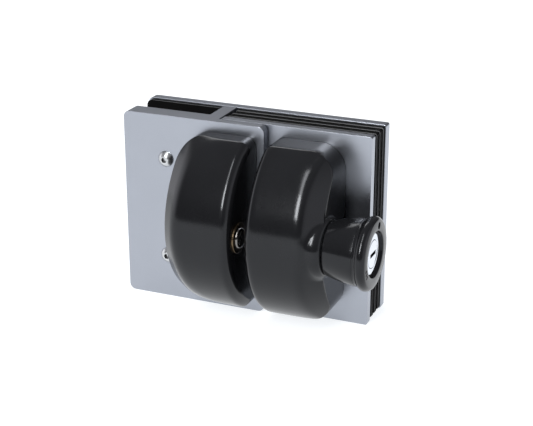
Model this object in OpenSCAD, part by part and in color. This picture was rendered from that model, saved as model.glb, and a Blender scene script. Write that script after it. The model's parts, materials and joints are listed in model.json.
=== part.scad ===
// Magnetic latch for a frameless glass gate.
// X runs along the glass towards the pull knob, Y runs away from the viewer, Z is up.
// The origin is on the edge of the fixed glass, at the middle of the slot and of its height.

/* [Plates] */
// Height of every plate
plate_h = 90; // [84:1:110]
// Length of the gate plate over the gate glass
gate_reach = 40; // [36:1:60]
// Length of the fixed plates over the fixed glass
fixed_reach = 73; // [66:1:90]
// Thickness of the web that closes the gate slot
web_t = 6.5; // [5:0.1:7]
// Width of the slot between the plates
slot_w = 15.6; // [15.6:0.1:17.6]
// Thickness of the back plate
back_t = 4.8; // [4:0.1:8]
// Thickness of the front plate of the fixed half
front_t = 4.1; // [3.8:0.1:5]
// Thickness of the lip in front of the fixed half
lip_t = 4.5; // [4:0.1:6]
// Gap between the lip and the front plate
lip_gap = 0.7; // [0.5:0.1:1.5]
// Length of the lip past the web
lip_reach = 24; // [23:0.5:26]
// Radius of the plate corners
corner_r = 3; // [1:0.5:5]
// Radius of the corners at the end where the fixed glass enters
end_corner_r = 1; // [0.5:0.5:3]

/* [Glass fixings] */
// Thickness of the glass that both slots take
glass_t = 12; // [10:0.5:12]
// Distance from a glass edge to the centre of its holes
hole_edge = 18.6; // [17:0.2:22]
// Height of the glass holes above and below the middle
hole_z = 24; // [20:1:30]
// Outer radius of the sleeves that fill the glass holes
sleeve_r = 5; // [4:0.5:6]
// Thickness of the gasket on the gate plate
gasket_t = 1.5; // [1:0.1:1.5]
// Thickness of the rubber pad on the back plate beside the fixed glass
rear_pad_t = 3; // [2:0.1:3.4]
// Thickness of one loose packer sheet
packer_t = 2.5; // [1.5:0.1:2.6]
// Step from the front of one packer sheet to the front of the next
packer_step = 4.5; // [3:0.1:4.6]
// Distance from the front plate to the first packer sheet
packer_start = 3.2; // [0.5:0.1:3.4]

/* [Housings] */
// Width of each housing along the glass
housing_w = 33.8; // [33:0.2:36]
// Height of each housing
housing_h = 80; // [76:1:82]
// Free gap between the two housings
housing_gap = 7; // [5:0.5:8]
// Radius of the rounded front
barrel_r = 45; // [44:0.5:48]
// Distance from the middle of the slot forward to the centre of the rounded front
barrel_y = -5.6; // [-6:0.1:-5]
// Radius between the rounded front and the flat top and bottom
shoulder_r = 8; // [6:0.5:10]
// Radius of the housing corners on its outer side
outer_corner_r = 11.5; // [9:0.1:12.5]
// Radius of the housing corners beside the gap
gap_corner_r = 4.5; // [3:0.1:6]
// Radius of the front edge beside the gap
gap_edge_r = 5; // [3:0.1:6]
// Width of the rounded front before it slopes away
flat_front_w = 26; // [24:0.2:27]
// How far the slope falls before the outer wall
slope_drop = 9.2; // [7:0.2:10]
// Radius that softens the start of the slope
slope_soft_r = 7; // [4:0.1:8]
// Radius to which the rounded front tightens where the slope meets the outer wall
slope_end_r = 40; // [38:0.5:45]
// Wall thickness of the housings
wall = 2.6; // [2:0.1:3]

/* [Pull knob] */
// Distance from the front of the housings back to the knob's axis
knob_set_back = 17; // [16.6:0.1:19]
// Radius of the raised ring around the knob
ring_r = 15; // [13:0.5:16]
// Radius of the knob's neck
neck_r = 11.4; // [10:0.1:12]
// Radius of the knob's body at the neck
grip_r = 12.7; // [12.4:0.1:13.6]
// Radius of the knob's body at the rim
waist_r = 14.6; // [14:0.1:15.4]
// How far the body swells between the neck and the rim
grip_swell = 1.1; // [0:0.1:1.6]
// Radius of the knob's rim
rim_r = 16.5; // [15.8:0.1:18]
// Length of the knob's body with its neck
grip_len = 15.1; // [14:0.1:20]
// Length of the rim
rim_len = 6.2; // [5.8:0.1:8]
// Radius of the round bead that forms the rim
bead_r = 2.9; // [2.4:0.1:3.2]
// Radius of the recess in the knob's end
mouth_r = 10.8; // [10.5:0.1:12]
// Depth of that recess
mouth_depth = 3; // [1.5:0.1:3.4]
// Radius of the lock barrel
lock_r = 9.6; // [8:0.1:10]
// Radius of the key plug
plug_r = 6.2; // [5:0.1:6.6]
// Radius of the pull rod
rod_r = 4; // [3:0.1:4.5]
// How far the knob pulls out
knob_travel = 8; // [4:0.5:8]

/* [Latch bolt] */
// Distance from the front of the housings back to the bolt's axis
bolt_set_back = 11.8; // [11.6:0.1:12.6]
// Radius of the bolt
bolt_r = 4.8; // [3.5:0.1:4.8]
// How far the withdrawn bolt stands out of its housing
bolt_out = 2.5; // [1:0.1:3]
// Radius of the magnet
magnet_r = 6.5; // [5:0.1:6.5]
// Thickness of the magnet
magnet_t = 6; // [4:0.5:6]

/* [Fits] */
// Gap between parts that pass each other
part_gap = 0.3; // [0.3:0.05:0.5]
// Radial clearance of a sliding fit
slide_fit = 0.15; // [0.1:0.05:0.2]
// Radial clearance of a part that is pressed or screwed in
tight_fit = 0.03; // [0.02:0.01:0.05]

/* [Hidden] */
$fn = 64;

// Faces of the plates across the slot
slot_half = slot_w / 2;
back_face = slot_half + back_t;
front_face = -slot_half - front_t;
lip_rear = front_face - lip_gap;
gate_face = lip_rear - lip_t;
gate_gasket_face = -slot_half + gasket_t;
gate_glass_rear = gate_gasket_face + glass_t;
top = plate_h / 2;
fixed_left = part_gap;
gate_left = -web_t - gate_reach;
gate_hole_x = -web_t - hole_edge;
sheet_top = top - 0.6;
sheet_right = fixed_reach - part_gap;
over = 1;

// Places of the two housings
housing_front = barrel_y - barrel_r;
knob_y = housing_front + knob_set_back;
bolt_y = housing_front + bolt_set_back;
lip_show = 3.5;
striker_right = lip_reach - lip_show;
striker_left = striker_right - housing_w;
latch_left = striker_right + housing_gap;
latch_right = latch_left + housing_w;
latch_inside = latch_right - wall;
cavity_edge_r = 0.8;
screw_boss_r = 3.6;
screw_boss_len = 12;
screw_roof = 2;
hole_inset_z = 12;
housing_hole_z = housing_h / 2 - hole_inset_z;
boss_sunk = 0.6;
hole_inset_gap = wall + screw_boss_r - boss_sunk;
hole_inset_outer = wall + 1.2;
latch_holes_x = [latch_left + hole_inset_gap, latch_right - hole_inset_outer];
striker_holes_x = [striker_right - hole_inset_gap, striker_left + hole_inset_outer];

// Fasteners
m4_r = 2;
m4_head_r = 3.8;
m4_clear_r = 2.25;
m3_r = 1.5;
m3_clear_r = 1.7;
m3_sink_r = 2.8;
m3_sink_len = 1.7;
m3_bite = 9;
button_len = 2.2;
button_dome = 2.5;
button_edge = 0.4;
m5_r = 2.5;
m5_sink_r = 4.6;
m5_sink_len = 2.4;
m4_hex_r = 1.44;
m3_hex_r = 1.15;
hex_depth = 1.3;
nut_flange_r = 8;
nut_flange_len = 1.2;

// Pull knob along its axis
knob_start = latch_right + 0.5;
neck_len = 1.4;
grip_start = knob_start + neck_len;
grip_end = knob_start + grip_len;
knob_end = grip_end + rim_len;
mouth_floor = knob_end - mouth_depth;
cap_spigot_r = 12.6;
cap_spigot_len = 2.4;
cap_spigot_start = grip_end - cap_spigot_len;
lock_len = 7.6;
lock_start = mouth_floor - lock_len;
cam_chamber_len = 2.5;
cam_chamber = lock_start - cam_chamber_len;
rod_end = cam_chamber - 0.5;
guide_bush_r = rod_r + 1.6;
guide_flange_r = guide_bush_r + 1.2;
guide_flange_len = 1.5;
keeper_bush_r = 7;
keeper_flange_r = keeper_bush_r + 1;
keeper_flange_len = 1.4;
carrier_left = latch_left + wall + keeper_flange_len + 0.9;
carrier_back_t = 3.6;
carrier_right = carrier_left + magnet_t + carrier_back_t;
carrier_front = housing_front + wall + 1.8;
carrier_side_t = 2;
carrier_rear = knob_y + rod_r + carrier_side_t;
carrier_half_h = magnet_r + carrier_side_t;
rod_start = carrier_left + magnet_t + tight_fit;
return_wire_r = 0.5;
return_spring_r = rod_r + return_wire_r + 0.9;
index_turn = 72;
index_r = 1.3;
tick_turn = 196;
tick_step = 8;
tick_len = 2.2;
tick_w = 0.9;
mark_depth = 0.5;
ring_depth = 5.8;
ring_rise = 0.2;
key_tail_r = 2.5;
keyway_w = 7;
keyway_h = 1.8;
keyway_depth = 6;

// Latch bolt along its axis
bolt_tip = striker_right + bolt_out;
bolt_tail = -3;
bolt_collar_r = 6.2;
bolt_collar_len = 2;
bolt_bush_r = 6;
bolt_bush_start = 11;
bolt_boss_r = 8.5;
bolt_flange_r = 7;
bolt_flange_len = 1;
bolt_wire_r = 0.3;
bolt_spring_r = bolt_r + bolt_wire_r + 0.4;

// Colours
SILVER = [0.72, 0.73, 0.76];
BLACK = [0.13, 0.13, 0.14];
RUBBER = [0.2, 0.2, 0.21];
STEEL = [0.6, 0.6, 0.62];
CHROME = [0.82, 0.83, 0.85];
BRASS = [0.72, 0.58, 0.33];

// A drawing in X and Z, thickened from y0 to y1
module along_y(y0, y1) {
    translate([0, y1, 0]) rotate([90, 0, 0]) linear_extrude(y1 - y0) children();
}

// A round bar along Y
module bar_y(y0, y1, r, x, z, r_front = -1) {
    translate([x, y1, z]) rotate([90, 0, 0])
        cylinder(h = y1 - y0, r1 = r, r2 = r_front < 0 ? r : r_front);
}

// A round bar along X
module bar_x(x0, x1, r, y) {
    translate([x0, y, 0]) rotate([0, 90, 0]) cylinder(h = x1 - x0, r = r);
}

// A body turned about the X direction through the given y, drawn as radius and x
module turned(y) {
    translate([0, y, 0]) rotate([90, 0, 90]) rotate_extrude($fn = 128) children();
}

module box(x0, x1, y0, y1, z0, z1) {
    translate([x0, y0, z0]) cube([x1 - x0, y1 - y0, z1 - z0]);
}

// An upright rectangle with rounded corners, with one radius for each side
module outline(x0, x1, half_h, r_left, r_right) {
    difference() {
        translate([x0, -half_h]) square([x1 - x0, 2 * half_h]);
        for (s = [-1, 1]) {
            translate([x0, s * half_h]) mirror([0, s > 0 ? 1 : 0]) waste(r_left);
            translate([x1, s * half_h]) mirror([0, s > 0 ? 1 : 0]) mirror([1, 0]) waste(r_right);
        }
    }
}

// What a rounded corner takes off a square one
module waste(r) {
    difference() {
        translate([-over, -over]) square(r + over);
        translate([r, r]) circle(r);
    }
}

module at_holes(x, z) {
    for (s = [-1, 1]) translate([x, 0, s * z]) children();
}

// Plates

module back_plate() {
    color(SILVER) difference() {
        along_y(slot_half, back_face) outline(gate_left, fixed_reach, top, corner_r, end_corner_r);
        at_holes(hole_edge, hole_z) {
            bar_y(slot_half - over, back_face + over, m5_r + slide_fit, 0, 0);
            bar_y(back_face - m5_sink_len, back_face, m5_sink_r + tight_fit, 0, 0, m5_r + slide_fit);
        }
    }
}

module front_plate() {
    color(SILVER) difference() {
        along_y(front_face, -slot_half)
            outline(fixed_left, fixed_reach, top, end_corner_r, end_corner_r);
        at_holes(hole_edge, hole_z)
            bar_y(front_face - over, -slot_half + over, m5_r + tight_fit, 0, 0);
        for (x = latch_holes_x) at_holes(x, housing_hole_z) sunk_hole(-slot_half);
    }
}

module gate_plate() {
    color(SILVER) difference() {
        union() {
            difference() {
                along_y(gate_face, -slot_half) outline(gate_left, lip_reach, top, corner_r, corner_r);
                box(0, lip_reach + over, lip_rear, -slot_half + over, -top - over, top + over);
            }
            box(-web_t, 0, -slot_half - over, slot_half - part_gap, -top, top);
        }
        at_holes(gate_hole_x, hole_z)
            bar_y(gate_face - over, -slot_half + over, m4_clear_r, 0, 0);
        at_holes(striker_holes_x[0], housing_hole_z) sunk_hole(lip_rear);
        at_holes(striker_holes_x[1], housing_hole_z) sunk_hole(-slot_half);
    }
}

// Rubber and packers

module stop_pad() {
    color(RUBBER) difference() {
        along_y(gate_glass_rear, slot_half)
            outline(gate_left + part_gap, -web_t - part_gap, sheet_top, corner_r, end_corner_r);
        at_holes(gate_hole_x, hole_z)
            bar_y(gate_glass_rear - over, slot_half + over, nut_flange_r + 0.5, 0, 0);
    }
}

module gate_gasket() {
    color(RUBBER) difference() {
        along_y(-slot_half, gate_gasket_face)
            outline(gate_left + part_gap, -web_t, sheet_top, corner_r, end_corner_r);
        sleeve_holes(gate_hole_x, -slot_half, gate_gasket_face);
    }
}

module rear_glass_pad() {
    color(RUBBER) difference() {
        along_y(slot_half - rear_pad_t, slot_half)
            outline(fixed_left + part_gap, sheet_right, sheet_top, end_corner_r, end_corner_r);
        sleeve_holes(hole_edge, slot_half - rear_pad_t, slot_half);
    }
}

module packer(number) {
    front = -slot_half + packer_start + number * packer_step;
    color(RUBBER) difference() {
        along_y(front, front + packer_t)
            outline(fixed_left + part_gap, sheet_right, sheet_top, end_corner_r, end_corner_r);
        sleeve_holes(hole_edge, front, front + packer_t);
    }
}

module sleeve_holes(x, y0, y1) {
    at_holes(x, hole_z) bar_y(y0 - over, y1 + over, sleeve_r + part_gap, 0, 0);
}

// Fasteners

// The hole of a countersunk M3 screw whose head is flush with the face at y
module sunk_hole(y) {
    bar_y(gate_face - over, y + over, m3_clear_r, 0, 0);
    bar_y(y - m3_sink_len, y, m3_sink_r + tight_fit, 0, 0, m3_clear_r);
}

// A countersunk screw with its head at y and its tip towards the viewer
module sunk_screw(y, tip, r, head_r, head_len, hex_r) {
    difference() {
        union() {
            bar_y(tip, y - head_len + tight_fit, r, 0, 0);
            bar_y(y - head_len, y, head_r, 0, 0, r);
        }
        hex_socket(y - hex_depth, y + over, hex_r);
    }
}

module hex_socket(y0, y1, r) {
    translate([0, y1, 0]) rotate([90, 0, 0]) cylinder(h = y1 - y0, r = r, $fn = 6);
}

module fixed_glass_screws() {
    color(STEEL) at_holes(hole_edge, hole_z)
        sunk_screw(back_face, front_face + part_gap, m5_r, m5_sink_r, m5_sink_len, m4_hex_r);
}

// A screw from the plate face at y into a housing that stands on the face at base_y
module housing_screw(y, base_y) {
    sunk_screw(y, base_y - m3_bite, m3_r, m3_sink_r, m3_sink_len, m3_hex_r);
}

module latch_housing_screws() {
    color(STEEL) for (x = latch_holes_x)
        at_holes(x, housing_hole_z) housing_screw(-slot_half, front_face);
}

module striker_housing_screws() {
    color(STEEL) {
        at_holes(striker_holes_x[0], housing_hole_z) housing_screw(lip_rear, gate_face);
        at_holes(striker_holes_x[1], housing_hole_z) housing_screw(-slot_half, gate_face);
    }
}

module spacer_sleeves() {
    color(STEEL) at_holes(hole_edge, hole_z) difference() {
        bar_y(-slot_half, slot_half, sleeve_r, 0, 0);
        bar_y(-slot_half - over, slot_half + over, m5_r + slide_fit, 0, 0);
    }
}

// Button head screws in front of the gate plate, each with a domed head
module gate_glass_screws() {
    tip = gate_glass_rear - 1;
    rise = button_dome - button_edge;
    dome_r = (pow(m4_head_r, 2) + pow(rise, 2)) / (2 * rise);
    color(STEEL) at_holes(gate_hole_x, hole_z) difference() {
        union() {
            bar_y(gate_face, tip, m4_r, 0, 0);
            translate([0, gate_face, 0]) rotate([90, 0, 0]) rotate_extrude() intersection() {
                square([m4_head_r, button_len]);
                translate([0, button_dome - dome_r]) circle(dome_r);
            }
        }
        hex_socket(gate_face - button_len - over, gate_face - button_len + hex_depth, m4_hex_r);
    }
}

// Nuts whose barrels fill the holes in the gate glass
module sleeve_nuts() {
    color(STEEL) at_holes(gate_hole_x, hole_z) difference() {
        union() {
            bar_y(-slot_half, gate_glass_rear, sleeve_r, 0, 0);
            bar_y(gate_glass_rear, gate_glass_rear + nut_flange_len, nut_flange_r, 0, 0);
        }
        bar_y(-slot_half - over, gate_glass_rear - part_gap, m4_r + tight_fit, 0, 0);
    }
}

// Housings
// Each is drawn with x = 0 at its side beside the gap and x = housing_w at its outer wall

// Section across the glass: a rounded front that turns softly into a flat top and bottom
module barrel_section(inset) {
    r = barrel_r - inset;
    half_h = housing_h / 2 - inset;
    soft = shoulder_r - inset;
    soft_y = barrel_y - sqrt(pow(r - soft, 2) - pow(half_h - soft, 2));
    touch_z = (half_h - soft) * r / (r - soft);
    intersection() {
        translate([barrel_y, 0]) circle(r, $fn = 128);
        translate([barrel_y - r - over, -touch_z]) square([r + over, 2 * touch_z]);
    }
    for (s = [-1, 1]) translate([soft_y, s * (half_h - soft)]) circle(soft);
    translate([soft_y, -half_h]) square([-soft_y, 2 * half_h]);
}

// Radius against x: a round edge beside the gap, then a level front
module edge_profile(inset, edge_r) {
    r = barrel_r - inset;
    polygon([
        [0, inset],
        [r - edge_r, inset],
        [r, inset + edge_r],
        [r, housing_w],
        [0, housing_w]
    ]);
    translate([r - edge_r, inset + edge_r]) circle(edge_r);
}

// A barrel that leans back by a share of the slope's angle. Its front line touches the arc that
// softens the start of the slope. Leaning narrows its curve, so its radius is widened to match.
module leaning_barrel(share, inset) {
    slope = atan2(slope_drop, housing_w - flat_front_w);
    lean = share * slope;
    r = (barrel_r + (slope_end_r - barrel_r) * share) / cos(lean);
    soft_x = flat_front_w - slope_soft_r * tan(slope / 2);
    soft_y = housing_front + slope_soft_r;
    translate([soft_x - (r - slope_soft_r) * sin(lean), soft_y + (r - slope_soft_r) * cos(lean), 0])
        rotate([0, 0, lean]) rotate([0, 90, 0])
            cylinder(h = 4 * plate_h, r = r - inset, center = true, $fn = 128);
}

module housing_form(base_y, inset, edge_r) {
    intersection() {
        rotate([90, 0, 90]) linear_extrude(housing_w) barrel_section(inset);
        turned(barrel_y) edge_profile(inset, edge_r);
        leaning_barrel(0.25, inset);
        leaning_barrel(0.5, inset);
        leaning_barrel(0.75, inset);
        leaning_barrel(1, inset);
        along_y(barrel_y - barrel_r - over, base_y)
            outline(inset, housing_w - inset, housing_h / 2 - inset,
                gap_corner_r - inset, outer_corner_r - inset);
    }
}

// A hollow housing, open towards its plate, with a block left solid around each screw.
// The holes' places are given in the housing's own x.
module housing_shell(base_y, holes_x) {
    difference() {
        housing_form(base_y, 0, gap_edge_r);
        difference() {
            housing_form(base_y + over, wall, cavity_edge_r);
            for (x = holes_x) at_holes(x, housing_hole_z)
                bar_y(base_y - screw_boss_len, base_y + 2 * over, screw_boss_r, 0, 0);
        }
        for (x = holes_x) at_holes(x, housing_hole_z)
            bar_y(base_y - screw_boss_len + screw_roof, base_y + over, m3_r + tight_fit, 0, 0);
    }
}

module latch_housing() {
    holes_x = [for (x = latch_holes_x) x - latch_left];
    ring_start = latch_right - ring_depth;
    color(BLACK) difference() {
        union() {
            translate([latch_left, 0, 0]) housing_shell(front_face, holes_x);
            difference() {
                bar_x(ring_start, latch_right + ring_rise, ring_r, knob_y);
                translate([latch_left, 0, 0]) housing_form(front_face, wall, cavity_edge_r);
            }
        }
        bar_x(latch_inside - over, latch_right + over, guide_bush_r + tight_fit, knob_y);
        bar_x(latch_left - over, latch_left + wall + over, keeper_bush_r + tight_fit, bolt_y);
    }
}

module striker_housing() {
    holes_x = [for (x = striker_holes_x) striker_right - x];
    color(BLACK) difference() {
        union() {
            translate([striker_right, 0, 0]) mirror([1, 0, 0]) housing_shell(gate_face, holes_x);
            intersection() {
                translate([striker_right, 0, 0]) mirror([1, 0, 0])
                    housing_form(gate_face, 0, gap_edge_r);
                bar_x(bolt_bush_start, striker_right, bolt_boss_r, bolt_y);
            }
        }
        bar_x(bolt_bush_start - over, striker_right + over, bolt_bush_r + tight_fit, bolt_y);
    }
}

// Bushes

module knob_guide_bush() {
    color(BLACK) difference() {
        union() {
            bar_x(latch_inside - guide_flange_len, latch_inside, guide_flange_r, knob_y);
            bar_x(latch_inside - over, latch_right, guide_bush_r, knob_y);
        }
        bar_x(latch_inside - 2 * guide_flange_len, latch_right + over, rod_r + slide_fit, knob_y);
    }
}

module keeper_bush() {
    inside = latch_left + wall;
    color(STEEL) difference() {
        union() {
            bar_x(latch_left, inside + keeper_flange_len, keeper_bush_r, bolt_y);
            bar_x(inside, inside + keeper_flange_len, keeper_flange_r, bolt_y);
        }
        bar_x(latch_left - over, inside + 2 * keeper_flange_len, bolt_r + part_gap, bolt_y);
    }
}

module bolt_bush() {
    color(BRASS) difference() {
        union() {
            bar_x(bolt_bush_start, striker_right + over / 2, bolt_bush_r, bolt_y);
            bar_x(striker_right, striker_right + bolt_flange_len, bolt_flange_r, bolt_y);
        }
        bar_x(bolt_bush_start - over, striker_right + 2 * bolt_flange_len,
            bolt_r + slide_fit, bolt_y);
    }
}

// Latch bolt

module latch_bolt() {
    dome_r = 1.6;
    color(CHROME) turned(bolt_y) {
        translate([0, bolt_tail]) square([bolt_r, bolt_tip - dome_r - bolt_tail]);
        translate([0, bolt_tail]) square([bolt_r - dome_r, bolt_tip - bolt_tail]);
        translate([bolt_r - dome_r, bolt_tip - dome_r]) circle(dome_r);
        translate([0, bolt_tail]) square([bolt_collar_r, bolt_collar_len]);
    }
}

// A coil spring along X between two seats, with its end turns closed
module spring(x0, x1, y, mean_r, wire_r, turns) {
    sides = 8;
    steps = 20 * turns;
    closed = 0.9;
    closed_len = 2.1 * wire_r * closed;
    open_len = x1 - x0 - 2 * wire_r - 2 * closed_len;
    function climb(t) = closed_len * min(t, closed) / closed
        + open_len * max(0, min(1, (t - closed) / (turns - 2 * closed)))
        + closed_len * max(0, t - turns + closed) / closed;
    function ring_points(t) = [for (k = [0 : sides - 1])
        let (a = 360 * k / sides, reach = mean_r + wire_r * cos(a))
            [x0 + wire_r + climb(t) + wire_r * sin(a),
                y + reach * cos(360 * t),
                reach * sin(360 * t)]];
    points = [for (i = [0 : steps]) each ring_points(i * turns / steps)];
    skin = [for (i = [0 : steps - 1], k = [0 : sides - 1])
        let (a = i * sides, b = a + sides, n = (k + 1) % sides)
            [a + k, b + k, b + n, a + n]];
    first = [for (k = [0 : sides - 1]) k];
    last = [for (k = [sides - 1 : -1 : 0]) steps * sides + k];
    polyhedron(points, concat(skin, [first], [last]), convexity = 10);
}

module bolt_spring() {
    color(STEEL) spring(bolt_tail + bolt_collar_len, bolt_bush_start, bolt_y,
        bolt_spring_r, bolt_wire_r, 6);
}

// Pull knob

// Radius of the body at a share of its length: straight from neck to rim, with a swelling
function body_r(share) = grip_r + (waist_r - grip_r) * share
    + grip_swell * pow(sin(180 * pow(share, 1.2)), 2);

module pull_knob() {
    soft = 0.6;
    steps = 14;
    body_start = grip_start + soft;
    body = [for (i = [0 : steps])
        [body_r(i / steps), body_start + (grip_end - body_start) * i / steps]];
    color(BLACK) difference() {
        turned(knob_y) {
            translate([0, knob_start]) square([neck_r, neck_len + over]);
            polygon(concat([[0, grip_start], [grip_r - soft, grip_start]], body, [[0, grip_end]]));
            translate([grip_r - soft, grip_start + soft]) circle(soft);
        }
        bar_x(knob_start - over, cam_chamber + over, rod_r + tight_fit, knob_y);
        bar_x(cam_chamber, grip_end + over, lock_r + tight_fit, knob_y);
        bar_x(cap_spigot_start, grip_end + over, cap_spigot_r + tight_fit, knob_y);
    }
}

// Where the rim's bead is centred, as radius and x, and the hollow that leads up to it
bead = [rim_r - bead_r, knob_end - 0.93 * bead_r];
hollow_r = 1.1;
hollow = [waist_r + hollow_r,
    bead.y - sqrt(pow(hollow_r + bead_r, 2) - pow(waist_r + hollow_r - bead.x, 2))];
face_r = bead.x + sqrt(pow(bead_r, 2) - pow(knob_end - bead.y, 2));

module rim_section() {
    intersection() {
        translate([0, grip_end]) square([rim_r + over, rim_len]);
        union() {
            square([waist_r, knob_end - bead_r]);
            square([bead.x, knob_end]);
            translate(bead) circle(bead_r);
            difference() {
                polygon([[waist_r, hollow.y], hollow, bead]);
                translate(hollow) circle(hollow_r);
            }
        }
    }
}

// The rim of the knob, with a plain index dimple and three plain tick marks in its face
module knob_end_cap() {
    mark_r = (mouth_r + face_r) / 2;
    color(BLACK) difference() {
        turned(knob_y) difference() {
            union() {
                translate([0, cap_spigot_start]) square([cap_spigot_r, rim_len]);
                rim_section();
            }
            translate([0, cap_spigot_start - over])
                square([lock_r + tight_fit, knob_end + 2 * over - cap_spigot_start]);
            translate([0, mouth_floor]) square([mouth_r, mouth_depth + over]);
        }
        at_face(index_turn) bar_x(knob_end - mark_depth, knob_end + over, index_r, mark_r);
        for (i = [0 : 2]) at_face(tick_turn + i * tick_step)
            box(knob_end - mark_depth, knob_end + over,
                mark_r - tick_len / 2, mark_r + tick_len / 2, -tick_w / 2, tick_w / 2);
    }
}

// Turns what is drawn straight behind the knob's axis to its place on the knob's face
module at_face(turn) {
    translate([0, knob_y, 0]) rotate([turn, 0, 0]) children();
}

module knob_rod() {
    color(STEEL) bar_x(rod_start, rod_end, rod_r, knob_y);
}

module magnet_carrier() {
    color(BLACK) difference() {
        box(carrier_left, carrier_right, carrier_front, carrier_rear, -carrier_half_h, carrier_half_h);
        bar_x(carrier_left - over, carrier_left + magnet_t, magnet_r + tight_fit, bolt_y);
        bar_x(carrier_left + magnet_t - over, carrier_right + over, rod_r + tight_fit, knob_y);
    }
}

module magnet() {
    color(CHROME) bar_x(carrier_left, carrier_left + magnet_t, magnet_r, bolt_y);
}

module return_spring() {
    color(STEEL) spring(carrier_right, latch_inside - guide_flange_len, knob_y,
        return_spring_r, return_wire_r, 6);
}

// Key lock in the knob's end

module lock_barrel() {
    color(CHROME) difference() {
        bar_x(lock_start, mouth_floor, lock_r, knob_y);
        bar_x(lock_start - over, mouth_floor + over, plug_r + slide_fit, knob_y);
    }
}

module key_plug() {
    color(CHROME) difference() {
        union() {
            bar_x(lock_start, mouth_floor, plug_r, knob_y);
            bar_x(cam_chamber + part_gap, lock_start + over, key_tail_r, knob_y);
        }
        box(mouth_floor - keyway_depth, mouth_floor + over,
            knob_y - keyway_w / 2, knob_y + keyway_w / 2, -keyway_h / 2, keyway_h / 2);
    }
}

// The arm on the plug's tail that turns with the key
module lock_cam() {
    hub_r = 4;
    arm_w = 5;
    arm_reach = lock_r - part_gap;
    cam_end = lock_start - part_gap;
    color(STEEL) difference() {
        union() {
            bar_x(cam_chamber + 2 * part_gap, cam_end, hub_r, knob_y);
            intersection() {
                box(cam_chamber + 2 * part_gap, cam_end,
                    knob_y - arm_w / 2, knob_y + arm_w / 2, 0, arm_reach);
                bar_x(cam_chamber, lock_start, arm_reach, knob_y);
            }
        }
        bar_x(cam_chamber, lock_start, key_tail_r + tight_fit, knob_y);
    }
}

back_plate();
front_plate();
stop_pad();
rear_glass_pad();
packer(0);  // glass_packer_front
packer(1);  // glass_packer_rear
spacer_sleeves();
fixed_glass_screws();
latch_housing();
latch_housing_screws();
keeper_bush();
knob_guide_bush();
gate_plate();
gate_gasket();
gate_glass_screws();
sleeve_nuts();
striker_housing();
striker_housing_screws();
bolt_bush();
latch_bolt();
bolt_spring();
pull_knob();
knob_end_cap();
knob_rod();
magnet_carrier();
magnet();
return_spring();
lock_barrel();
key_plug();
lock_cam();
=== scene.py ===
# %% [markdown]
# # A magnetic latch for a frameless glass gate
#
# The latch clamps on two panes of glass. Satin metal plates grip each pane, and two moulded
# black housings face each other across a gap: a bolt sits in one, and a magnet on a pull knob
# sits in the other. The solid model already holds every size. This file gives its visible
# pieces their soft edges, finishes, light and a camera. Units are metres, X runs along the
# glass towards the knob, Y runs away from the viewer and Z is up.

# %% Load the solid model
import json
from math import atan2, cos, pi, radians, sin, sqrt, tan

import bmesh
import bpy
import numpy as np
from mathutils import Matrix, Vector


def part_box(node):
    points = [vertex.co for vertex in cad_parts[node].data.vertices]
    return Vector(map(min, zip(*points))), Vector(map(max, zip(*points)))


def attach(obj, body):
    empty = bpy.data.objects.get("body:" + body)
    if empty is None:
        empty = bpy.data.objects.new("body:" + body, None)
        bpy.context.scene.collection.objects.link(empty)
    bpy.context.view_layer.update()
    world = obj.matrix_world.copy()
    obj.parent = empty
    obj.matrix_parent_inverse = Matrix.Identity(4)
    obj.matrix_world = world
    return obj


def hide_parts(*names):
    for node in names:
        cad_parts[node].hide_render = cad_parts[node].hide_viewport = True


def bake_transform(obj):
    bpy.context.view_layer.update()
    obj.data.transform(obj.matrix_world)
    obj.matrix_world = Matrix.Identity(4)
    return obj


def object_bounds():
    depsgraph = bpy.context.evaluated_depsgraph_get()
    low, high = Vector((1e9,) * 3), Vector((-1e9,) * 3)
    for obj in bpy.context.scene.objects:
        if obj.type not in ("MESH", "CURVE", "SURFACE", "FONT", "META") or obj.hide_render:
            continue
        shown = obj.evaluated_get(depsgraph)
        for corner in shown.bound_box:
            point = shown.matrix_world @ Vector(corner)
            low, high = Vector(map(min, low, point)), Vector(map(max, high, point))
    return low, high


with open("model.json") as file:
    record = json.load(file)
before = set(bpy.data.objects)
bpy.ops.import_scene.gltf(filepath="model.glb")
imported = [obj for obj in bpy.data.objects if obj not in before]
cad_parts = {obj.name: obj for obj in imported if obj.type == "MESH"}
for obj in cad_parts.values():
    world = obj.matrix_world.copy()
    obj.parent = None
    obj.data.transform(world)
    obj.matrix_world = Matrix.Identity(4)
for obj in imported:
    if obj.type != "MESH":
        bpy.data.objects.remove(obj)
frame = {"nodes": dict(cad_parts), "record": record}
cad_low, cad_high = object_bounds()
NODES = frame["nodes"]
RECORD = frame["record"]
BODY_OF = {node: body for body, held in RECORD["behaviour"]["bodies"].items() for node in held}
SLOT_OF = {part["node"]: part["material_slot"] for part in RECORD["subparts"]}
MM = 0.001
print("solid model:", len(NODES), "pieces, size in mm",
      [round((h - l) / MM, 1) for l, h in zip(cad_low, cad_high)])

# %% [markdown]
# ## The camera
#
# The photograph is a studio shot from the right and a little above. Its lens and place were
# worked out from the straight edges of the plates: parallel edges that run together in the
# picture fix the viewing direction, and the rate at which they do so fixes the distance.

# %% Place the camera
CAMERA_PLACE = (0.2452, -0.5387, 0.2211)
CAMERA_TURN = 22.856
CAMERA_DOWN = 20.921
LENS_MM = 90.16
SENSOR_MM = 36.0

camera_data = bpy.data.cameras.new("camera")
camera_data.lens = LENS_MM
camera_data.sensor_width = SENSOR_MM
camera_data.sensor_fit = "HORIZONTAL"
camera_data.clip_start = 0.01
camera = bpy.data.objects.new("camera", camera_data)
camera.location = CAMERA_PLACE
camera.rotation_euler = (radians(90 - CAMERA_DOWN), 0, radians(CAMERA_TURN))
bpy.context.scene.collection.objects.link(camera)
bpy.context.scene.camera = camera
print("camera", round(sqrt(sum(c * c for c in CAMERA_PLACE)), 3), "m from the glass edge")

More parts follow.
